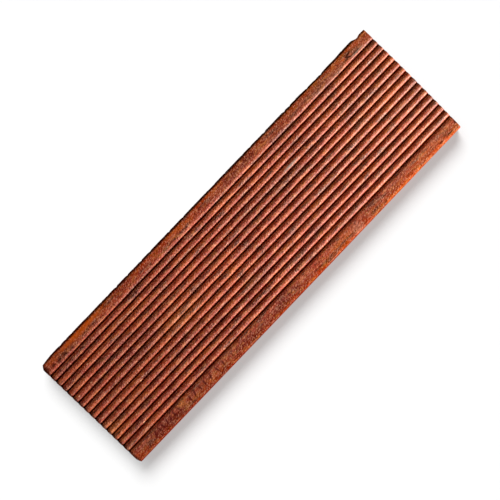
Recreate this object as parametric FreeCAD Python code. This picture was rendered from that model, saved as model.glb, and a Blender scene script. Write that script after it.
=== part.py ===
# A short sawn length of ribbed hardwood decking board, one solid piece of wood.
# X runs along the board, Y across it and Z up. The origin is at the centre of the underside.
# All sizes are in millimetres.
import FreeCAD, Part
import math
import os

# Stock size
board_length = 485.0
board_width = 145.0
board_thickness = 25.0

# Ribbed face: ribs with a round back, and a half-round groove cut between each two. The back runs
# into the groove at a crisp edge. The ribs are a little uneven, in width from groove to groove, and
# they are listed from the -Y side. The first groove is given by its place across the board.
rib_widths = [8.3, 7.9, 8.0, 8.0, 8.1, 8.1, 8.3, 8.2, 7.8, 8.1, 8.1, 8.0, 7.7, 7.8]
first_groove = -55.6
shoulder_width = 4.0
rib_back_radius = 4.2
groove_depth = 2.1
groove_radius = 1.3

# Planed long arrises. The +Y side is worked a little wide and then torn back to the board width.
arris_radius = 3.0
torn_allowance = 1.0

# Torn +Y edge in plan: short ripples as (length of one wave, height, phase) and one long hollow
ripples = [(23.0, 0.12, 0.4), (38.0, 0.1, 2.1), (91.0, 0.08, 4.0)]
hollow_centre = 172.0
hollow_half_span = 48.0
hollow_depth = 0.8

# Splinter broken off the torn edge beside the far end: the edge drops to a foot, then climbs a
# little to a shelf that runs out to the rounded corner
break_start = 223.5
break_foot = 231.5
break_depth = 2.6
shelf_start = 236.5
shelf_rise = 1.2
nose_radius = 1.2

# Far end sawn a little out of square and slightly bowed: how far it falls back from the torn edge
far_end_back_middle = 0.7
far_end_back_straight = 3.2

# Near end: both corners are worn. Each one has a blunt tip between two shallow flats.
near_torn_tip = (2.9, 1.7)
near_torn_reach = (18.0, 6.5)
near_straight_tip = (1.9, 0.4)
near_straight_reach = (8.0, 6.0)

half_length = board_length / 2
half_width = board_width / 2


def line(start, end):
    return Part.LineSegment(start, end).toShape()


def section_arc(centre_y, centre_z, radius, from_angle, to_angle):
    """An arc in the section. Angles are from straight up, positive towards +Y."""
    points = []
    for share in (0.0, 0.5, 1.0):
        angle = from_angle + (to_angle - from_angle) * share
        y = centre_y + radius * math.sin(angle)
        z = centre_z + radius * math.cos(angle)
        points.append(FreeCAD.Vector(0, y, z))
    return Part.Arc(*points).toShape()


def meeting_angles(width):
    """Where a rib's back and the groove beside it cross, as an angle on each of the two circles.

    The angle on the groove's circle is from straight down, the one on the back's from straight up.
    """
    across = width / 2
    down = rib_back_radius - groove_depth + groove_radius
    centre_gap = math.hypot(across, down)
    reach = (centre_gap ** 2 + groove_radius ** 2 - rib_back_radius ** 2) / (2 * centre_gap)
    towards_back = math.pi / 2 - math.atan2(down, across)
    on_groove = towards_back + math.acos(reach / groove_radius)
    on_back = math.asin((across - groove_radius * math.sin(on_groove)) / rib_back_radius)
    return on_groove, on_back


def ribbed_face():
    """The arcs of the moulded face, from the -Y margin to the +Y margin."""
    groove_z = board_thickness - groove_depth + groove_radius
    back_z = board_thickness - rib_back_radius
    shoulder_groove, shoulder_back = meeting_angles(2 * shoulder_width)
    groove = first_groove
    last = shoulder_groove
    arcs = [section_arc(groove - shoulder_width, back_z, rib_back_radius, 0, shoulder_back)]
    for width in rib_widths:
        on_groove, on_back = meeting_angles(width)
        arcs.append(section_arc(groove, groove_z, groove_radius, math.pi + last, math.pi - on_groove))
        arcs.append(section_arc(groove + width / 2, back_z, rib_back_radius, -on_back, on_back))
        groove += width
        last = on_groove
    arcs.append(section_arc(groove, groove_z, groove_radius, math.pi + last, math.pi - shoulder_groove))
    arcs.append(section_arc(groove + shoulder_width, back_z, rib_back_radius, -shoulder_back, 0))
    return arcs


def section():
    """The moulded section: ribbed face up, flat underside and four rounded arrises."""
    low_y = -half_width
    high_y = half_width + torn_allowance
    low_radius = arris_radius
    high_radius = arris_radius + torn_allowance
    quarter = math.pi / 2
    high_arris_y = high_y - high_radius
    low_arris_y = low_y + low_radius
    edges = ribbed_face()
    edges.append(section_arc(high_arris_y, board_thickness - high_radius, high_radius, 0, quarter))
    edges.append(section_arc(high_arris_y, high_radius, high_radius, quarter, 2 * quarter))
    edges.append(section_arc(low_arris_y, low_radius, low_radius, 2 * quarter, 3 * quarter))
    edges.append(section_arc(low_arris_y, board_thickness - low_radius, low_radius, 3 * quarter, 4 * quarter))

    margin_start = first_groove + sum(rib_widths) + shoulder_width
    margin_end = first_groove - shoulder_width
    flats = [
        (margin_start, board_thickness, high_arris_y, board_thickness),
        (high_y, board_thickness - high_radius, high_y, high_radius),
        (high_arris_y, 0, low_arris_y, 0),
        (low_y, low_radius, low_y, board_thickness - low_radius),
        (low_arris_y, board_thickness, margin_end, board_thickness),
    ]
    for start_y, start_z, end_y, end_z in flats:
        edges.append(line(FreeCAD.Vector(0, start_y, start_z), FreeCAD.Vector(0, end_y, end_z)))
    return Part.Face(Part.Wire(Part.__sortEdges__(edges)))


def eased(start, end, x):
    """Share of the way from start to end, easing in and out."""
    share = min(max((x - start) / (end - start), 0), 1)
    return share * share * (3 - 2 * share)


def torn_edge_y(x):
    """The +Y edge in plan at one place along the board."""
    y = half_width - sum(height for length, height, phase in ripples)
    for length, height, phase in ripples:
        y += height * math.sin(2 * math.pi * x / length + phase)
    from_hollow = abs(x - hollow_centre) / hollow_half_span
    if from_hollow < 1:
        y -= hollow_depth * math.cos(from_hollow * math.pi / 2) ** 2
    y -= break_depth * eased(break_start, break_foot, x)
    return y + shelf_rise * eased(break_foot, shelf_start, x)


def plan_point(x, y):
    return FreeCAD.Vector(x, y, -1)


def plan_arc(start, middle, end):
    return Part.Arc(start, middle, end).toShape()


def torn_curve(start_x, end_x, spans):
    """One smooth stretch of the torn edge."""
    step = (end_x - start_x) / spans
    stations = [start_x + step * number for number in range(spans + 1)]
    curve = Part.BSplineCurve()
    curve.interpolate([plan_point(x, torn_edge_y(x)) for x in stations])
    return curve.toShape()


def plan():
    """The board seen from above, with its torn edge, worn corners and sawn ends."""
    outside = -half_width - 2
    near_x = -half_length

    # Near end, from the straight edge to the torn edge. Each worn flat is a shallow arc.
    tip_x, tip_y = near_straight_tip
    reach_x, reach_y = near_straight_reach
    low_start = plan_point(near_x + reach_x, outside)
    low_tip = plan_point(near_x + tip_x, -half_width + tip_y)
    low_bulge = plan_point(near_x + tip_x * 0.4, -half_width + (tip_y + reach_y) * 0.5)
    low_end = plan_point(near_x, -half_width + reach_y)
    tip_x, tip_y = near_torn_tip
    reach_x, reach_y = near_torn_reach
    high_start = plan_point(near_x, half_width - reach_y)
    high_bulge = plan_point(near_x + tip_x * 0.4, half_width - (tip_y + reach_y) * 0.5)
    high_tip = plan_point(near_x + tip_x, half_width - tip_y)
    torn_start_x = near_x + reach_x
    torn_start = plan_point(torn_start_x, torn_edge_y(torn_start_x))
    high_flank = plan_point(near_x + (tip_x + reach_x) * 0.5, torn_start.y - tip_y * 0.3)
    edges = [
        line(low_start, low_tip),
        plan_arc(low_tip, low_bulge, low_end),
        line(low_end, high_start),
        plan_arc(high_start, high_bulge, high_tip),
        plan_arc(high_tip, high_flank, torn_start),
    ]

    # Torn edge, stopping at the rounded nose of the far corner
    torn_end_x = half_length - nose_radius
    edges.append(torn_curve(torn_start_x, hollow_centre - hollow_half_span, 60))
    edges.append(torn_curve(hollow_centre - hollow_half_span, break_start, 20))
    edges.append(torn_curve(break_start, torn_end_x, 8))

    # Far end, back to the straight edge
    torn_end = plan_point(torn_end_x, torn_edge_y(torn_end_x))
    nose_inset = nose_radius * (1 - math.sqrt(0.5))
    nose_middle = plan_point(half_length - nose_inset, torn_end.y - nose_inset)
    nose_end = plan_point(half_length, torn_end.y - nose_radius)
    saw_middle = plan_point(half_length - far_end_back_middle, 0)
    saw_end = plan_point(half_length - far_end_back_straight, outside)
    edges.append(plan_arc(torn_end, nose_middle, nose_end))
    edges.append(plan_arc(nose_end, saw_middle, saw_end))
    edges.append(line(saw_end, low_start))
    return Part.Face(Part.Wire(edges))


def board():
    """The moulding run out along X, trimmed to the plan."""
    overrun = 5.0
    face = section()
    face.translate(FreeCAD.Vector(-half_length - overrun, 0, 0))
    moulding = face.extrude(FreeCAD.Vector(board_length + 2 * overrun, 0, 0))
    trim = plan().extrude(FreeCAD.Vector(0, 0, board_thickness + 2))
    return moulding.common(trim)


solid = board()
os.makedirs("parts", exist_ok=True)
solid.exportStep("parts/board.step")
size = solid.optimalBoundingBox(False, False)
print("valid", solid.isValid(), "solids", len(solid.Solids), "faces", len(solid.Faces))
print("size", round(size.XLength, 2), round(size.YLength, 2), round(size.ZLength, 2))
print("volume cm3", round(solid.Volume / 1000, 1))
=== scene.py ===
# A ribbed hardwood decking board, cut to a short length, seen from straight above.
import bpy
import bmesh
import math
import time
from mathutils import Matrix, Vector, noise


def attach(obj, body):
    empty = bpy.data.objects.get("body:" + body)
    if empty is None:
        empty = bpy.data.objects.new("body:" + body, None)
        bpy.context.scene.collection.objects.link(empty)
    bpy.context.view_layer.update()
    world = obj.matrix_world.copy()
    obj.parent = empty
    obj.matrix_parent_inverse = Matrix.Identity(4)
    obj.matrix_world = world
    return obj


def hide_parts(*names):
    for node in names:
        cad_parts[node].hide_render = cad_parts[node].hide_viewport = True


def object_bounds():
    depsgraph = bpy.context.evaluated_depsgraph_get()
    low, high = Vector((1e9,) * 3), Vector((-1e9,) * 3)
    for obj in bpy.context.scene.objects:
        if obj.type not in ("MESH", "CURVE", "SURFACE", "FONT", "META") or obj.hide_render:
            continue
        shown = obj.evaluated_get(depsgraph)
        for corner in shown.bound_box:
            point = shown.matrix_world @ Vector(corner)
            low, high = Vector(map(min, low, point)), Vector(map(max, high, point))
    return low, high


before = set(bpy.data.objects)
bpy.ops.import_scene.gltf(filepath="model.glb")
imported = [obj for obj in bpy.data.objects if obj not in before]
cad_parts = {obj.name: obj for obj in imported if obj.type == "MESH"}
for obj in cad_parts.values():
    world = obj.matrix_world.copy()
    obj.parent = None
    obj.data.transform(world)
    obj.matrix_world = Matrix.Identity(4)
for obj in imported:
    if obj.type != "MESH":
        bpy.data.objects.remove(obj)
cadLow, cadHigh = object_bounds()
mm = 0.001
scene = bpy.context.scene
began = time.time()


# Small helpers

def srgb(hexColour):
    parts = [int(hexColour[i:i + 2], 16) / 255 for i in (1, 3, 5)]
    linear = [p / 12.92 if p <= 0.04045 else ((p + 0.055) / 1.055) ** 2.4 for p in parts]
    return (*linear, 1.0)


def addNode(tree, kind, inputs=None, links=None, ramp=None, **settings):
    node = tree.nodes.new(kind)
    for name, value in settings.items():
        setattr(node, name, value)
    for name, value in (inputs or {}).items():
        node.inputs[name].default_value = value
    for name, source in (links or {}).items():
        tree.links.new(source, node.inputs[name])
    if ramp:
        stops = node.color_ramp.elements
        while len(stops) < len(ramp):
            stops.new(0.5)
        for stop, (position, colour) in zip(stops, ramp):
            stop.position = position
            stop.color = colour
    return node


def smoothStep(low, high, value):
    share = min(max((value - low) / (high - low), 0.0), 1.0)
    return share * share * (3 - 2 * share)


def lump(x, y, size):
    # gradient noise from about -1 to 1, the same on every run: its size each way in mm, and a seed
    along, across, seed = size
    return noise.noise(Vector((x / along, y / across, seed)))


def newMaterial(name):
    material = bpy.data.materials.new(name)
    material.use_nodes = True
    material.node_tree.nodes.clear()
    return material, material.node_tree


# The board, in mm. Its outer size is the frame's.
cadLength, cadWidth, cadThickness = [round((high - low) / mm, 1) for low, high in zip(cadLow, cadHigh)]
board = {
    "length": cadLength,
    "width": cadWidth,
    "thickness": cadThickness,
    "ribWidths": [8.3, 7.9, 8.0, 8.0, 8.1, 8.1, 8.3, 8.2, 7.8, 8.1, 8.1, 8.0, 7.7, 7.8],
    "firstGroove": -55.6,
    "shoulder": 4.0,
    "ribRadius": 4.2,       # rounded back of a rib
    "grooveDepth": 2.1,
    "grooveRadius": 1.3,    # half-round groove
    "arris": 3.0,
    "stepAlong": 1.5,       # mesh step along the board
    "ribSteps": 7,
    "grooveSteps": 7,
    "arrisSteps": 5,
    "marginSteps": 7,
    "sideRows": 6,
}

# Torn edge in plan: ripples as wave length, height and phase, a long hollow, and the place of a
# broken splinter, where the edge drops to a foot and climbs a little to a shelf
tornEdge = {
    "ripples": [(23.0, 0.12, 0.4), (38.0, 0.1, 2.1), (91.0, 0.08, 4.0)],
    "hollow": (172.0, 48.0, 0.8),
    "break": (223.5, 231.5, 2.6),
    "shelf": (231.5, 236.5, 1.2),
    "fullness": 0.32,       # before the notches are cut in it
    "outermost": 72.46,     # stays inside the frame
}

# Ends in plan. The far end falls back from the torn edge, and the near end is worn a little all
# over and more at its corners. Each worn corner is a depth and how far it reaches.
ends = {
    "farBackMiddle": 0.7,
    "farBackStraight": 3.2,
    "nearWear": 0.2,
    "tornCorner": (2.9, 6.5),
    "tornFlank": (1.9, 18.0),
    "straightCorner": (1.9, 6.0),
    "cornerCurve": 1.2,     # 1 is a straight cut, and more is rounder
}


def tornEdgeY(x):
    y = board["width"] / 2 - sum(height for wave, height, phase in tornEdge["ripples"])
    for wave, height, phase in tornEdge["ripples"]:
        y += height * math.sin(2 * math.pi * x / wave + phase)
    centre, halfSpan, depth = tornEdge["hollow"]
    away = abs(x - centre) / halfSpan
    if away < 1:
        y -= depth * math.cos(away * math.pi / 2) ** 2
    start, foot, drop = tornEdge["break"]
    y -= drop * smoothStep(start, foot, x)
    start, top, rise = tornEdge["shelf"]
    y += rise * smoothStep(start, top, x)
    y = min(y + tornEdge["fullness"], tornEdge["outermost"])
    tip, reach = ends["tornFlank"]
    return y - tip * max(0.0, 1 - (x + board["length"] / 2) / reach) ** ends["cornerCurve"]


def nearEndX(y):
    half = board["width"] / 2
    x = ends["nearWear"] - board["length"] / 2
    for side, (tip, reach) in ((y, ends["tornCorner"]), (-y, ends["straightCorner"])):
        x += tip * max(0.0, 1 - (half - side) / reach) ** ends["cornerCurve"]
    return x


def farEndX(y):
    # shallow bow through three places across the board
    curve = (ends["farBackStraight"] - 2 * ends["farBackMiddle"]) / 2
    slope = -ends["farBackStraight"] / 2
    share = y / (board["width"] / 2)
    back = ends["farBackMiddle"] + slope * share + curve * share * share
    return board["length"] / 2 - max(back, 0.0)


def ribShape(width):
    # where the round back of a rib meets the half-round groove, as the angle on each of the two
    # circles: on the groove from straight down, on the back from straight up
    radius = board["ribRadius"]
    grooveRadius = board["grooveRadius"]
    across = width / 2
    down = radius - board["grooveDepth"] + grooveRadius
    apart = math.hypot(across, down)
    reach = (apart ** 2 + grooveRadius ** 2 - radius ** 2) / (2 * apart)
    onGroove = math.pi / 2 - math.atan2(down, across) + math.acos(reach / grooveRadius)
    onBack = math.asin((across - grooveRadius * math.sin(onGroove)) / radius)
    return onGroove, onBack


def drawSection(bm):
    # one run of edges over the top of the board, from the straight side to the torn side
    top = board["thickness"]
    half = board["width"] / 2
    arris = board["arris"]
    shoulder = board["shoulder"]
    floorZ = top - board["grooveDepth"] + board["grooveRadius"]
    backZ = top - board["ribRadius"]
    shoulderGroove, shoulderBack = ribShape(2 * shoulder)
    groove = board["firstGroove"]

    def turn(pen, y, z, angle, steps):
        made = bmesh.ops.spin(bm, geom=[pen], cent=(0, y, z), axis=(1, 0, 0), angle=angle, steps=steps)
        return [v for v in made["geom_last"] if isinstance(v, bmesh.types.BMVert)][0]

    def runTo(pen, y, steps):
        pull = (y - pen.co.y) / steps
        for step in range(steps):
            pen = bmesh.ops.extrude_vert_indiv(bm, verts=[pen])["verts"][0]
            bmesh.ops.translate(bm, verts=[pen], vec=(0, pull, 0))
        return pen

    pen = bm.verts.new((0, -half, top - arris))
    pen = turn(pen, -half + arris, top - arris, -math.pi / 2, board["arrisSteps"])
    pen = runTo(pen, groove - shoulder, board["marginSteps"])
    pen = turn(pen, groove - shoulder, backZ, -shoulderBack, board["ribSteps"] // 2)
    lastGroove = shoulderGroove
    for width in board["ribWidths"]:
        onGroove, onBack = ribShape(width)
        pen = turn(pen, groove, floorZ, lastGroove + onGroove, board["grooveSteps"])
        pen = turn(pen, groove + width / 2, backZ, -2 * onBack, board["ribSteps"])
        groove += width
        lastGroove = onGroove
    pen = turn(pen, groove, floorZ, lastGroove + shoulderGroove, board["grooveSteps"])
    pen = turn(pen, groove + shoulder, backZ, -shoulderBack, board["ribSteps"] // 2)
    pen = runTo(pen, half - arris, board["marginSteps"])
    turn(pen, half - arris, top - arris, -math.pi / 2, board["arrisSteps"])


def undersideZ(y):
    inside = board["width"] / 2 - board["arris"]
    over = max(abs(y) - inside, 0.0)
    return board["arris"] - math.sqrt(max(board["arris"] ** 2 - over ** 2, 0.0))


def makeBlank():
    inLine = 1e-5    # mm
    bm = bmesh.new()
    drawSection(bm)

    # pull the run down to the underside, then the whole section along the board
    pulled = bmesh.ops.extrude_edge_only(bm, edges=bm.edges[:])
    for vert in pulled["geom"]:
        if isinstance(vert, bmesh.types.BMVert):
            vert.co.z = undersideZ(vert.co.y)
    upright = [e for e in bm.edges if abs(e.verts[0].co.y - e.verts[1].co.y) < inLine]
    bmesh.ops.subdivide_edges(bm, edges=upright, cuts=board["sideRows"] - 1)
    print("section:", len(bm.faces), round(time.time() - began, 1), "s")
    bmesh.ops.translate(bm, verts=bm.verts[:], vec=(-board["length"] / 2, 0, 0))
    pulled = bmesh.ops.extrude_face_region(bm, geom=bm.faces[:])
    moved = [v for v in pulled["geom"] if isinstance(v, bmesh.types.BMVert)]
    bmesh.ops.translate(bm, verts=moved, vec=(board["length"], 0, 0))
    lengthwise = [e for e in bm.edges if abs(e.verts[0].co.x - e.verts[1].co.x) > inLine]
    cuts = round(board["length"] / board["stepAlong"]) - 1
    bmesh.ops.subdivide_edges(bm, edges=lengthwise, cuts=cuts)
    bmesh.ops.recalc_face_normals(bm, faces=bm.faces[:])
    print("blank:", len(bm.faces), "faces", round(time.time() - began, 1), "s")
    return bm


# Tears and dents on the top face: centre x, y, half length, half width, depth, in mm
tears = [
    (208.0, 63.2, 5.0, 1.6, 0.7),
    (215.0, 61.8, 11.0, 0.8, 0.5),
    (222.0, 60.6, 9.0, 1.0, 0.4),
    (-226.0, 62.0, 6.0, 2.4, 0.35),
    (-200.0, 61.0, 9.0, 2.0, 0.25),
    (-146.0, -57.0, 10.0, 1.6, 0.2),
]

# Wear in mm. A lump is a noise, as its size along and across the board, and a seed, and a list of
# lumps has each one's share first. Levels are where a noise starts to count and where it is whole.
wear = {
    "ribBow": 0.29,             # the ribs run in one long shallow bow
    "bowLength": 600.0,
    "bowShift": 90.0,
    "ribWander": 0.16,          # and drift a little from side to side
    "wanderLumps": [(1.0, (31, 9, 0.0)), (0.5, (8, 5, 7.0))],
    "driftEnd": (3.0, -1.0),    # the drift ends outside the ribs and is whole inside them
    "grainLift": 0.10,          # the grain stands up between softer bands
    "grainLevel": 0.45,
    "grainLumps": [(0.7, (22, 2.6, 3.0)), (0.3, (9, 2.0, 11.0))],
    "ribWear": 0.18,            # the ribbed face is worn down here and there
    "ribLevels": (0.25, 0.6),
    "ribLump": (24, 4.0, 19.0),
    "tearReach": 1.6,           # times the size of a tear, past which it has no effect
    "tearLevels": (1.0, 0.45),
    "tearRagged": 0.35,
    "tearLump": (2.5, 1.5, 5.0),
    "straightArris": (3.0, 4.2),    # the upper straight arris is rounder towards the far end
    "arrisX": (-20.0, 200.0),
    "edgePull": 7.0,            # the plan of the long edges is pulled in over this width
    "straightDraw": 0.4,        # the straight edge draws in a little towards the far end
    "drawX": (40.0, 239.25),
    "tornSide": (3.2, 0.4),     # from the outermost line, where the torn relief starts and is whole
    "tornRelief": 0.12,
    "tornLumps": [(1.0, (7, 9, 2.0)), (0.5, (2.6, 4, 6.0))],
    "notchDepth": 0.65,         # small notches, where splinters came away
    "notchLevels": (0.1, 0.55),
    "notchLump": (4.2, 25, 23.0),
}


def wearTop(x, y, z):
    # ribs drift a little from side to side, and the grain stands up between softer bands
    fieldHalf = sum(board["ribWidths"]) / 2 + board["shoulder"]
    fieldMiddle = board["firstGroove"] + sum(board["ribWidths"]) / 2
    outer, inner = wear["driftEnd"]
    inField = smoothStep(fieldHalf + outer, fieldHalf + inner, abs(y - fieldMiddle))
    y += inField * wear["ribBow"] * math.cos(2 * math.pi * (x + wear["bowShift"]) / wear["bowLength"])
    y += inField * wear["ribWander"] * sum(share * lump(x, y, size) for share, size in wear["wanderLumps"])
    lift = sum(share * lump(x, y, size) for share, size in wear["grainLumps"])
    z -= wear["grainLift"] * max(wear["grainLevel"] - lift, 0.0)
    z -= wear["ribWear"] * smoothStep(*wear["ribLevels"], lump(x, y, wear["ribLump"])) * inField
    for centreX, centreY, halfLong, halfWide, depth in tears:
        away = math.hypot((x - centreX) / halfLong, (y - centreY) / halfWide)
        if away < wear["tearReach"]:
            ragged = away + wear["tearRagged"] * lump(x, y, wear["tearLump"])
            z -= depth * smoothStep(*wear["tearLevels"], ragged)
    return y, z


def wearBoard(bm):
    half = board["width"] / 2
    top = board["thickness"]
    slack = 0.02    # mm

    for vert in bm.verts:
        x, y, z = vert.co
        if z > top - board["grooveDepth"] - slack and abs(y) < half - board["arris"] + slack:
            y, z = wearTop(x, y, z)

        # upper straight arris, rounder towards the far end
        near, far = wear["straightArris"]
        radius = near + (far - near) * smoothStep(*wear["arrisX"], x)
        over = radius - half - y
        if over > 0 and z > top - board["arris"] - slack:
            z = min(z, top - radius + math.sqrt(max(radius ** 2 - over ** 2, 0.0)))

        # plan of the board: torn edge, worn corners and the end sawn out of square
        share = x / board["length"] + 0.5
        newX = nearEndX(y) + share * (farEndX(y) - nearEndX(y))
        y += smoothStep(half - wear["edgePull"], half, y) * (tornEdgeY(newX) - half)
        drawn = smoothStep(wear["edgePull"] - half, -half, y) * wear["straightDraw"]
        y += drawn * smoothStep(*wear["drawX"], x)

        # rough relief of the torn side and its two arrises
        inner, outer = wear["tornSide"]
        side = smoothStep(half - inner, half - outer, vert.co.y)
        if side > 0:
            rough = sum(share * abs(lump(newX, z, size)) for share, size in wear["tornLumps"])
            notch = smoothStep(*wear["notchLevels"], lump(newX, z, wear["notchLump"]))
            y -= side * (wear["tornRelief"] * rough + wear["notchDepth"] * notch)
        vert.co = (newX, y, z)


def makeBoard():
    bm = makeBlank()
    wearBoard(bm)
    print("worn:", round(time.time() - began, 1), "s")

    # the plain underside needs no fine mesh
    straightDown = -0.999
    under = [f for f in bm.faces if f.normal.z < straightDown]
    bmesh.ops.dissolve_faces(bm, faces=under)

    # sawn ends stay sharp, everything moulded is smooth. A face of an end looks along the board and
    # takes up little of its length.
    lookingAlong = 0.7
    mostLength = 2.0    # mm
    for face in bm.faces:
        xs = [v.co.x for v in face.verts]
        acrossEnd = abs(face.normal.x) > lookingAlong and max(xs) - min(xs) < mostLength
        face.smooth = not acrossEnd
        face.material_index = 1 if acrossEnd else 0
    for edge in bm.edges:
        if len(edge.link_faces) == 2:
            edge.smooth = edge.link_faces[0].material_index == edge.link_faces[1].material_index

    bmesh.ops.scale(bm, vec=(mm, mm, mm), verts=bm.verts[:])
    bmesh.ops.recalc_face_normals(bm, faces=bm.faces[:])
    mesh = bpy.data.meshes.new("ribbedBoard")
    bm.to_mesh(mesh)
    bm.free()
    piece = bpy.data.objects.new("ribbedBoard", mesh)
    scene.collection.objects.link(piece)
    print("board:", len(mesh.polygons), "faces", round(time.time() - began, 1), "s")
    return piece


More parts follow.
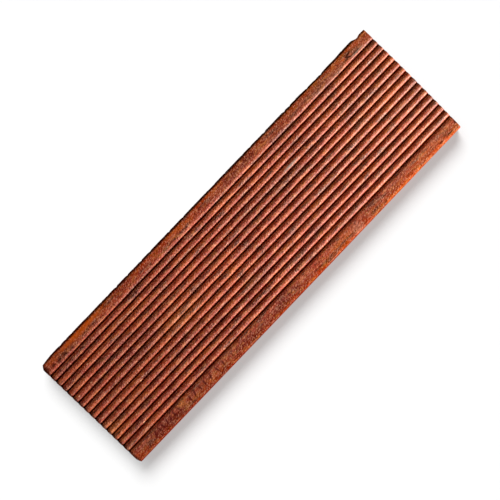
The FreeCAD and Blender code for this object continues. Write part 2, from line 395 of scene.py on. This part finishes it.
# Oiled merbau, moulded and planed. A heavy red-brown hardwood with short interlocked grain,
# open pores and pale mineral flecks. The oil deepens the colour and leaves a soft broad gloss.
merbau = {
    "colours": {
        "deep": "#801A02",
        "mid": "#B43204",
        "warm": "#CC5404",
        "mauve": "#582A1E",
        "pale": "#DC7C30",
        "hair": "#F0A484",
        "pore": "#240802",
        "fleck": "#FFB486",
        # painted shade of the grooves and the near end, and a darker red tone of the wood elsewhere
        "groove": "#580A02",
        # dark stains of tears and cracks, and painted shade on the torn arris, along the torn edge and at
        # the near end
        "stainAndShade": "#2A0602",
        "grey": "#A09484",
    },
    "zoneRamp": [(0.32, "deep"), (0.50, "mid"), (0.70, "warm")],
    # soft noises: size along and across in mm, slant in degrees, detail, shift in m, distortion
    "noises": {
        "zones": ((44, 12), 0, 3, 0.0, 0.3),
        "mauveBands": ((24, 5), 0, 3, 0.3, 0.0),
        "paleBands": ((9, 3), 0, 2, 0.9, 0.0),
        "strokes": ((4.6, 1.0), -50, 2, 0.0, 0.5),
        "fibres": ((15, 0.9), 2, 2, 0.0, 0.0),
        "hairs": ((1.8, 0.9), -35, 1, 0.21, 0.0),
        "slantedGrain": ((3.2, 1.6), -50, 0, 0.5, 0.0),
        "longGrain": ((10, 1.5), -3, 0, 0.3, 0.0),
        "roundGrain": ((2.0, 2.0), 0, 0, 0.7, 0.0),
    },
    "noiseRoughness": 0.55,
    # a noise, the two levels that the stain fades in between, its share and its colour
    "noiseStains": [
        ("mauveBands", 0.51, 0.66, 0.85, "mauve"),
        ("paleBands", 0.50, 0.70, 0.55, "pale"),
        ("strokes", 0.46, 0.28, 0.40, "pore"),
        ("strokes", 0.50, 0.74, 0.45, "pale"),
        ("fibres", 0.44, 0.26, 0.45, "pore"),
        ("fibres", 0.54, 0.74, 0.40, "hair"),
        ("hairs", 0.52, 0.74, 0.72, "hair"),
        ("hairs", 0.50, 0.26, 0.78, "pore"),
    ],
    # Painted shade darkens and reddens the grooves, the torn arris and the near end, and a painted lift
    # makes the far end a little paler. The margins took more oil, and the upper straight arris is darker.
    # What each goes by, where it starts and is full in mm, its share and its colour
    "shadeAndStainsByPlace": [
        # painted shade: the grooves are darkened and reddened to the look of their narrow shade
        ("groove", 2.0, 1.0, 0.6, "groove"),
        ("Y", -58.5, -60.5, 0.10, "groove"),
        ("Y", 60.0, 64.0, 0.09, "groove"),
        # darker along the upper straight arris, most on its steep part
        ("straightArris", -68.0, -70.0, 0.22, "groove"),
        ("straightArris", -70.6, -71.6, 0.75, "groove"),
        # painted shade: the torn arris and the top of the torn side, which face away from the key lamp,
        # darkened to near black
        ("tornArris", 68.9, 70.9, 0.93, "stainAndShade"),
        # painted shade towards the near end and a painted lift towards the far end, as the light falls off
        # along the board
        ("X", 20.0, -250.0, 0.20, "groove"),
        ("X", 0.0, 250.0, 0.10, "pale"),
        # painted shade: a dark strip along the near end, which faces away from the lamps
        ("X", -239.0, -241.2, 0.75, "stainAndShade"),
    ],
    # patches of other wood under the grain: x, y, half length and half width in mm, slant in degrees,
    # share and colour
    "patches": [
        (-95, 8, 44, 26, 0, 0.55, "warm"),
        (-234, -30, 20, 18, 0, 0.8, "warm"),
        (-45, -2, 24, 13, 0, 0.5, "warm"),
        (-190, 66, 55, 8, 0, 0.5, "warm"),
        (-186, 66.6, 46, 3.6, 0, 0.9, "warm"),
        (-130, -66, 105, 13, 0, 0.40, "deep"),
        # darker along the upper straight arris towards the near end
        (-190, -70.5, 160, 4.0, 0, 0.35, "groove"),
        (-169, -60.5, 8, 5, 0, 0.8, "pale"),
        (150, 66, 143, 10, 0, 0.40, "deep"),
        (45, 64.5, 75, 6, 0, 0.30, "groove"),
        (30, 26, 66, 20, 0, 0.35, "deep"),
        (80, 22, 26, 10, 0, 0.5, "groove"),
        (-28, -24, 16, 8, 0, 0.3, "pale"),
        (-72, -24, 16, 10, 0, 0.4, "deep"),
        (-236, -28, 14, 12, 0, 0.5, "pale"),
        (-105, 2, 40, 12, 0, 0.5, "pale"),
        (-70, -66, 14, 8, 0, 0.4, "deep"),
        (90, -68, 10, 8, 0, 0.4, "hair"),
        (-178, -68, 26, 5, 0, 0.4, "groove"),
        (170, 62, 34, 8, 0, 0.5, "mauve"),
        (172, 8, 16, 9, 0, 0.4, "pale"),
        (120, -66, 44, 13, 0, 0.30, "deep"),
        (150, -4, 14, 12, 0, 0.25, "groove"),
        (220, -10, 24, 15, 0, 0.3, "mauve"),
        (-155, 12, 46, 22, 0, 0.40, "groove"),
        (-130, -2, 34, 12, 0, 0.3, "warm"),
        (-208, 62, 24, 4.4, 0, 0.4, "mauve"),
    ],
    # tears, cracks and dirt over the grain, and painted shade along the torn edge and at the near end, in
    # the same way
    "marks": [
        (-231, 62.5, 3.2, 2.2, 0, 0.7, "stainAndShade"),
        (-223, 61.8, 4.2, 2.2, 0, 0.7, "stainAndShade"),
        (-214, 62.2, 3.4, 2.2, 0, 0.7, "stainAndShade"),
        (-205, 61.6, 4.2, 2.0, 0, 0.6, "stainAndShade"),
        (-186, 67.2, 46, 3.2, 0, 0.6, "warm"),
        # painted shade along the torn edge towards the far end
        (170, 71.5, 90, 2.6, 0, 0.8, "stainAndShade"),
        (221, 60.2, 13, 1.0, 0, 0.7, "grey"),
        (90, 28.6, 16, 1.8, 0, 0.6, "grey"),
        (212, 64.8, 6.5, 1.7, 12, 0.85, "stainAndShade"),
        (211, 62.8, 5.0, 1.4, -28, 0.85, "stainAndShade"),
        (220, 61.3, 11.0, 1.0, 0, 0.7, "stainAndShade"),
        (214, -68.2, 4.0, 1.1, 0, 0.85, "stainAndShade"),
        (227, -68.0, 7.0, 1.2, 2, 0.85, "stainAndShade"),
        (239, -63.5, 2.4, 3.0, 0, 0.7, "stainAndShade"),
        # painted shade at the near end, by the torn corner
        (-241, 65, 5.5, 9.0, 0, 0.75, "stainAndShade"),
    ],
    # pale mineral flecks, by place in mm
    "flecks": [(-180, -14), (-209, -46), (-206, 38), (-217, 22), (-236, 21), (-21, 7), (-41, 56),
        (-30, 61), (29, 47), (71, 47), (174, 46), (185, 45), (226, -58)],
    "fleckSize": (1.8, 1.1),    # mm, half length and half width
    "fleckShare": 0.7,
    # curly figure on the straight margin, as dark strokes across it: x in mm and slant in degrees
    "curls": [(-209, 70), (-203, 98), (-198, 112), (-192, 80), (-187, 64), (-181, 96), (-174, 108),
        (-158, 84), (-151, 68), (-143, 104), (-136, 88), (-127, 72), (-117, 100), (-108, 84)],
    "curlY": -63.0,
    "curlSize": (5.5, 1.7),     # mm, half length and half width
    "curlShare": 0.85,
    "relief": {"slantedGrain": 0.6, "longGrain": 0.6, "roundGrain": 0.8},
    "spotHeight": 14.0,         # mm, how far a patch or a mark goes down from the top face
    "spotCore": 0.7,            # how far in from its rim it is whole, as a share of its size
    "arrisLean": 0.3,           # "arrisLean": 0.3, # how fast the painted shade of the torn arris and the darkening of the straight arris fade down the side
    # a level just under the floors of the grooves: their painted shade, relief and gloss go by how far a
    # point is above or below it, or outside the ribbed face
    "grooveLevel": 22.0,        # mm
    "ribbedHalf": 62.0,         # mm
    "planed": (1.8, 2.6),       # mm, over which the relief grows to its whole height
    "glossStart": (1.2, 2.2),   # mm, over which the gloss grows
    "grooveRelief": 0.1,        # share of the relief that is left in a groove
    "reliefHeight": 0.24,       # mm
    "roughness": 0.58,
    "roughnessSwing": 0.08,
    "swingLevels": (0.3, 0.7),  # of the noise that the swing follows
    "ior": 1.5,
    "specular": 0.75,
    "drySpecular": 0.0,         # the grooves and the long edges have no gloss
    "glossEndY": (59.0, 69.0),
    "poreGloss": (0.03, 0.20),  # red of the wood where the gloss starts and where it is whole
}


def merbauNoises(tree, place):
    noises = {}
    for name, (size, slant, detail, shift, distortion) in merbau["noises"].items():
        laid = addNode(tree, "ShaderNodeMapping", vector_type="TEXTURE", inputs={
            "Location": (-shift, -shift, 0), "Rotation": (0, 0, -math.radians(slant)),
            "Scale": (size[0] * mm, size[1] * mm, size[1] * mm)}, links={"Vector": place})
        noises[name] = addNode(tree, "ShaderNodeTexNoise", inputs={
            "Scale": 1.0, "Detail": detail, "Roughness": merbau["noiseRoughness"],
            "Distortion": distortion}, links={"Vector": laid.outputs["Vector"]}).outputs["Fac"]
    return noises


def merbauPlaces(tree, place):
    # what a stain or the gloss can go by, in metres
    axes = addNode(tree, "ShaderNodeSeparateXYZ", links={"Vector": place}).outputs
    level = addNode(tree, "ShaderNodeVectorMath", operation="SUBTRACT", inputs={
        1: (0, 0, merbau["grooveLevel"] * mm)}, links={0: place})
    level = addNode(tree, "ShaderNodeVectorMath", operation="ABSOLUTE", links={0: level.outputs[0]})
    away = addNode(tree, "ShaderNodeSeparateXYZ", links={"Vector": level.outputs[0]}).outputs
    outside = addNode(tree, "ShaderNodeMath", operation="SUBTRACT", inputs={
        1: merbau["ribbedHalf"] * mm}, links={0: away["Y"]})
    groove = addNode(tree, "ShaderNodeMath", operation="MAXIMUM", links={
        0: away["Z"], 1: outside.outputs[0]})
    where = {"X": axes["X"], "Y": axes["Y"], "outwards": away["Y"], "groove": groove.outputs[0]}

    # the place across the board at the top face, drawn inwards down the sides
    lean = merbau["arrisLean"]
    inwards = addNode(tree, "ShaderNodeMath", operation="MULTIPLY_ADD", inputs={
        1: lean, 2: -lean * board["thickness"] * mm}, links={0: axes["Z"]})
    for name, operation in (("tornArris", "ADD"), ("straightArris", "SUBTRACT")):
        where[name] = addNode(tree, "ShaderNodeMath", operation=operation, links={
            0: axes["Y"], 1: inwards.outputs[0]}).outputs[0]
    return where


def merbauSpots(tree, place, spots):
    # each spot is a value from 0 at its rim to 1 at its centre, and stains as the other values do
    stains = []
    for x, y, halfLong, halfWide, slant, share, name in spots:
        laid = addNode(tree, "ShaderNodeMapping", vector_type="TEXTURE", inputs={
            "Location": (x * mm, y * mm, board["thickness"] * mm), "Rotation": (0, 0, math.radians(slant)),
            "Scale": (halfLong * mm, halfWide * mm, merbau["spotHeight"] * mm)}, links={"Vector": place})
        spot = addNode(tree, "ShaderNodeTexGradient", gradient_type="SPHERICAL",
            links={"Vector": laid.outputs["Vector"]})
        stains.append((spot.outputs["Fac"], 0.0, merbau["spotCore"], share, name))
    return stains


def merbauColour(tree, place, noises, where):
    colours = {name: srgb(value) for name, value in merbau["colours"].items()}

    # broad zones of redder and oranger wood, drawn out along the board
    colour = addNode(tree, "ShaderNodeValToRGB", links={"Fac": noises["zones"]}, ramp=[
        (level, colours[name]) for level, name in merbau["zoneRamp"]]).outputs["Color"]

    # each of the stains, painted shades and lifts below is a value, the two levels that it fades in
    # between, its share and its colour
    flecks = [(x, y, *merbau["fleckSize"], 0, merbau["fleckShare"], "fleck") for x, y in merbau["flecks"]]
    curls = [(x, merbau["curlY"], *merbau["curlSize"], slant, merbau["curlShare"], "groove")
        for x, slant in merbau["curls"]]
    stains = merbauSpots(tree, place, merbau["patches"])
    stains += [(noises[name], *rest) for name, *rest in merbau["noiseStains"]]
    stains += [(where[name], start * mm, full * mm, *rest)
        for name, start, full, *rest in merbau["shadeAndStainsByPlace"]]
    stains += merbauSpots(tree, place, merbau["marks"] + flecks + curls)
    for value, start, full, share, name in stains:
        mask = addNode(tree, "ShaderNodeMapRange", interpolation_type="SMOOTHSTEP", inputs={
            "From Min": start, "From Max": full, "To Min": 0.0, "To Max": share}, links={"Value": value})
        colour = addNode(tree, "ShaderNodeMix", data_type="RGBA", inputs={7: colours[name]},
            links={0: mask.outputs["Result"], 6: colour}).outputs[2]
    return colour


def merbauRelief(tree, noises, where):
    # the raised grain, planed off where the rib runs down into a groove
    height = addNode(tree, "ShaderNodeValue").outputs[0]
    for name, share in merbau["relief"].items():
        height = addNode(tree, "ShaderNodeMath", operation="MULTIPLY_ADD", inputs={1: share},
            links={0: noises[name], 2: height}).outputs[0]
    start, full = merbau["planed"]
    raised = addNode(tree, "ShaderNodeMapRange", inputs={
        "From Min": start * mm, "From Max": full * mm, "To Min": merbau["grooveRelief"], "To Max": 1.0},
        links={"Value": where["groove"]})
    bump = addNode(tree, "ShaderNodeBump", inputs={"Distance": merbau["reliefHeight"] * mm},
        links={"Height": height, "Strength": raised.outputs["Result"]})
    return bump.outputs["Normal"]


def merbauGloss(tree, colour, where):
    # the oil shines on the backs of the ribs, and sinks in where a pore or a tear is open
    startY, endY = merbau["glossEndY"]
    acrossBoard = addNode(tree, "ShaderNodeMapRange", inputs={
        "From Min": startY * mm, "From Max": endY * mm, "To Min": merbau["specular"],
        "To Max": merbau["drySpecular"]}, links={"Value": where["outwards"]})
    start, full = merbau["glossStart"]
    upRib = addNode(tree, "ShaderNodeMapRange", inputs={
        "From Min": start * mm, "From Max": full * mm, "To Min": merbau["drySpecular"],
        "To Max": merbau["specular"]}, links={"Value": where["groove"]})
    oiled = addNode(tree, "ShaderNodeMath", operation="MINIMUM", links={
        0: acrossBoard.outputs["Result"], 1: upRib.outputs["Result"]})
    red = addNode(tree, "ShaderNodeSeparateColor", links={"Color": colour}).outputs["Red"]
    openRed, closedRed = merbau["poreGloss"]
    closed = addNode(tree, "ShaderNodeMapRange", inputs={"From Min": openRed, "From Max": closedRed},
        links={"Value": red})
    gloss = addNode(tree, "ShaderNodeMath", operation="MULTIPLY", links={
        0: oiled.outputs[0], 1: closed.outputs["Result"]})
    return gloss.outputs[0]


def makeMerbau():
    material, tree = newMaterial("oiledMerbau")
    place = addNode(tree, "ShaderNodeTexCoord").outputs["Object"]
    noises = merbauNoises(tree, place)
    where = merbauPlaces(tree, place)
    colour = merbauColour(tree, place, noises, where)
    start, full = merbau["swingLevels"]
    polish = addNode(tree, "ShaderNodeMapRange", inputs={
        "From Min": start, "From Max": full,
        "To Min": merbau["roughness"] + merbau["roughnessSwing"],
        "To Max": merbau["roughness"] - merbau["roughnessSwing"]}, links={"Value": noises["strokes"]})
    shader = addNode(tree, "ShaderNodeBsdfPrincipled", inputs={"IOR": merbau["ior"]}, links={
        "Base Color": colour, "Roughness": polish.outputs["Result"],
        "Specular IOR Level": merbauGloss(tree, colour, where),
        "Normal": merbauRelief(tree, noises, where)})
    addNode(tree, "ShaderNodeOutputMaterial", links={"Surface": shader.outputs["BSDF"]})
    return material


# End grain of the same wood, straight from the saw: darker, dry and matt, with soft growth rings,
# pores cut across and fine upright marks from the saw teeth. The rings tell the eye how the board
# lay in the log.
endGrain = {
    "light": "#8E4628",
    "dark": "#70301A",
    "pore": "#1E0A06",
    "heart": (-30.0, 110.0),        # mm, from the heart of the log to the middle of the underside
    "ringSpacing": 4.6,             # mm
    "ringWander": 5.0,
    "ringDetail": (2.0, 0.6),       # of the wander, and its scale
    "ringLevels": (0.2, 0.9),       # dark and light
    "poreSpacing": 1.1,             # mm
    "poreSize": (0.25, 0.12),       # of the spacing, where a pore starts and is full
    "poreShare": 0.8,
    "sawTilt": 8,                   # degrees
    "sawMarkSize": (5.0, 0.7, 17.0),    # mm
    "sawMarkDetail": 2.0,
    "sawMarkDepth": 0.3,            # mm
    "sawMarkStrength": 0.6,
    "roughness": 0.8,
    "ior": 1.5,
}


def makeEndGrain():
    material, tree = newMaterial("sawnEndGrain")
    place = addNode(tree, "ShaderNodeTexCoord").outputs["Object"]
    heartY, heartZ = endGrain["heart"]
    heart = addNode(tree, "ShaderNodeMapping", inputs={
        "Location": (0, heartY * mm, heartZ * mm), "Scale": (0.0, 1.0, 1.0)}, links={"Vector": place})
    ringAtScaleOne = 2 * math.pi / 20    # metres, the width of one ring of the texture at scale 1
    detail, detailScale = endGrain["ringDetail"]
    rings = addNode(tree, "ShaderNodeTexWave", wave_type="RINGS", rings_direction="X", inputs={
        "Scale": ringAtScaleOne / (endGrain["ringSpacing"] * mm), "Distortion": endGrain["ringWander"],
        "Detail": detail, "Detail Scale": detailScale}, links={"Vector": heart.outputs["Vector"]})
    darkLevel, lightLevel = endGrain["ringLevels"]
    wood = addNode(tree, "ShaderNodeValToRGB", links={"Fac": rings.outputs["Fac"]}, ramp=[
        (darkLevel, srgb(endGrain["dark"])), (lightLevel, srgb(endGrain["light"]))])
    dots = addNode(tree, "ShaderNodeTexVoronoi", inputs={"Scale": 1 / (endGrain["poreSpacing"] * mm)},
        links={"Vector": place})
    start, full = endGrain["poreSize"]
    pores = addNode(tree, "ShaderNodeMapRange", inputs={
        "From Min": start, "From Max": full, "To Min": 0.0, "To Max": endGrain["poreShare"]},
        links={"Value": dots.outputs["Distance"]})
    colour = addNode(tree, "ShaderNodeMix", data_type="RGBA", inputs={7: srgb(endGrain["pore"])},
        links={0: pores.outputs["Result"], 6: wood.outputs["Color"]})
    laid = addNode(tree, "ShaderNodeMapping", vector_type="TEXTURE", inputs={
        "Rotation": (math.radians(endGrain["sawTilt"]), 0, 0),
        "Scale": [size * mm for size in endGrain["sawMarkSize"]]}, links={"Vector": place})
    sawMarks = addNode(tree, "ShaderNodeTexNoise", inputs={
        "Scale": 1.0, "Detail": endGrain["sawMarkDetail"]}, links={"Vector": laid.outputs["Vector"]})
    bump = addNode(tree, "ShaderNodeBump", inputs={
        "Strength": endGrain["sawMarkStrength"], "Distance": endGrain["sawMarkDepth"] * mm},
        links={"Height": sawMarks.outputs["Fac"]})
    shader = addNode(tree, "ShaderNodeBsdfPrincipled", inputs={
        "IOR": endGrain["ior"], "Roughness": endGrain["roughness"]},
        links={"Base Color": colour.outputs[2], "Normal": bump.outputs["Normal"]})
    addNode(tree, "ShaderNodeOutputMaterial", links={"Surface": shader.outputs["BSDF"]})
    return material


# Studio: a white card for a floor, a low key lamp and a weak fill for the board, and a wide window
# that throws its shadow on the card. A strength is the light on a face square to the lamp, at the
# origin, and 1 shows white as white.
studio = {
    "viewCentre": (-4.1, -2.05),    # mm, where the middle of the picture falls on the board
    "viewTurn": -46.28,             # degrees, the board lies across the picture
    "viewWidth": 518.25,            # mm across the picture at the top face
    "lens": 100.0,                  # mm
    "filmWidth": 36.0,              # mm
    "farthest": 60.0,               # metres, what the camera still sees
    "ambient": 0.03,
    "keyPlace": (0.50, -1.12, 0.45),    # metres
    "keySize": 0.5,
    "keyStrength": 2.28,
    "fillPlace": (-0.3, 1.0, 0.30),
    "fillSize": 0.6,
    "fillStrength": 0.42,
    # the window, as three lamps that only the floor sees: direction and strength
    "shadowLamps": [((-0.45, 0.6, 1.0), 0.28), ((0.15, 0.74, 1.0), 0.80), ((0.5, 0.76, 1.0), 2.65)],
    "shadowSoftness": 35.0,         # degrees across
    "cardGlow": 0.45,               # lifts the card to white for the camera, and leaves the shadow grey
    "cardGrey": 0.2,                # grey enough that little red light comes back beside the board
    "cardRoughness": 0.9,
    "floorReach": 30.0,             # metres, so that a low view sees no end of it
    "floorGap": 0.2,                # mm under the board
}


def hangLamp(name, lamp, place):
    holder = bpy.data.objects.new(name, lamp)
    scene.collection.objects.link(holder)
    holder.location = place
    holder.rotation_euler = Vector(place).to_track_quat("Z", "Y").to_euler()
    return holder


def lightOnly(holder, groupName, thing):
    group = bpy.data.collections.new(groupName)
    group.objects.link(thing)
    holder.light_linking.receiver_collection = group


# White card with a matt face. It glows a little for the camera, in reflections and through glass,
# and throws no light.
def makeCard():
    material, tree = newMaterial("whiteCard")
    path = addNode(tree, "ShaderNodeLightPath").outputs
    seen = addNode(tree, "ShaderNodeMath", operation="MAXIMUM", links={
        0: path["Is Camera Ray"], 1: path["Is Glossy Ray"]})
    seen = addNode(tree, "ShaderNodeMath", operation="MAXIMUM", links={
        0: seen.outputs[0], 1: path["Is Transmission Ray"]})
    glow = addNode(tree, "ShaderNodeMath", operation="MULTIPLY", inputs={1: studio["cardGlow"]},
        links={0: seen.outputs[0]})
    grey = studio["cardGrey"]
    shader = addNode(tree, "ShaderNodeBsdfPrincipled", inputs={
        "Base Color": (grey, grey, grey, 1), "Roughness": studio["cardRoughness"],
        "Specular IOR Level": 0.0, "Emission Color": (1, 1, 1, 1)},
        links={"Emission Strength": glow.outputs[0]})
    addNode(tree, "ShaderNodeOutputMaterial", links={"Surface": shader.outputs["BSDF"]})
    return material


def makeStudio(piece):
    world = bpy.data.worlds.new("paleStudio")
    scene.world = world
    world.use_nodes = True
    world.node_tree.nodes["Background"].inputs["Color"].default_value = (1, 1, 1, 1)
    world.node_tree.nodes["Background"].inputs["Strength"].default_value = studio["ambient"]

    bm = bmesh.new()
    bmesh.ops.create_grid(bm, x_segments=1, y_segments=1, size=studio["floorReach"])
    bmesh.ops.translate(bm, verts=bm.verts[:], vec=(0, 0, -studio["floorGap"] * mm))
    floorMesh = bpy.data.meshes.new("paleFloor")
    bm.to_mesh(floorMesh)
    bm.free()
    floor = bpy.data.objects.new("paleFloor", floorMesh)
    scene.collection.objects.link(floor)
    floorMesh.materials.append(makeCard())

    for name in ("key", "fill"):
        place = studio[name + "Place"]
        lamp = bpy.data.lights.new(name + "Lamp", "AREA")
        lamp.shape = "DISK"
        lamp.size = studio[name + "Size"]
        lamp.energy = studio[name + "Strength"] * math.pi ** 2 * Vector(place).length_squared
        holder = hangLamp(name + "Lamp", lamp, place)
        holder.visible_glossy = (name == "key")    # the fill only lifts the shadows
        lightOnly(holder, "litBy" + name.capitalize(), piece)
    for number, (direction, strength) in enumerate(studio["shadowLamps"]):
        name = "shadowLamp%d" % number
        shade = bpy.data.lights.new(name, "SUN")
        shade.angle = math.radians(studio["shadowSoftness"])
        shade.energy = strength * math.pi
        lightOnly(hangLamp(name, shade, direction), "litBy" + name.capitalize(), floor)

    camera = bpy.data.cameras.new("overhead")
    camera.lens = studio["lens"]
    camera.sensor_width = studio["filmWidth"]
    camera.clip_end = studio["farthest"]
    holder = bpy.data.objects.new("overhead", camera)
    scene.collection.objects.link(holder)
    away = studio["lens"] / studio["filmWidth"] * studio["viewWidth"]
    x, y = studio["viewCentre"]
    holder.location = (x * mm, y * mm, (board["thickness"] + away) * mm)
    holder.rotation_euler = (0, 0, math.radians(studio["viewTurn"]))
    scene.camera = holder
    scene.view_settings.view_transform = "Standard"


piece = makeBoard()
piece.data.materials.append(makeMerbau())
piece.data.materials.append(makeEndGrain())
print("materials: done")
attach(piece, "root")
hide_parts("board")
makeStudio(piece)
print("studio: done")
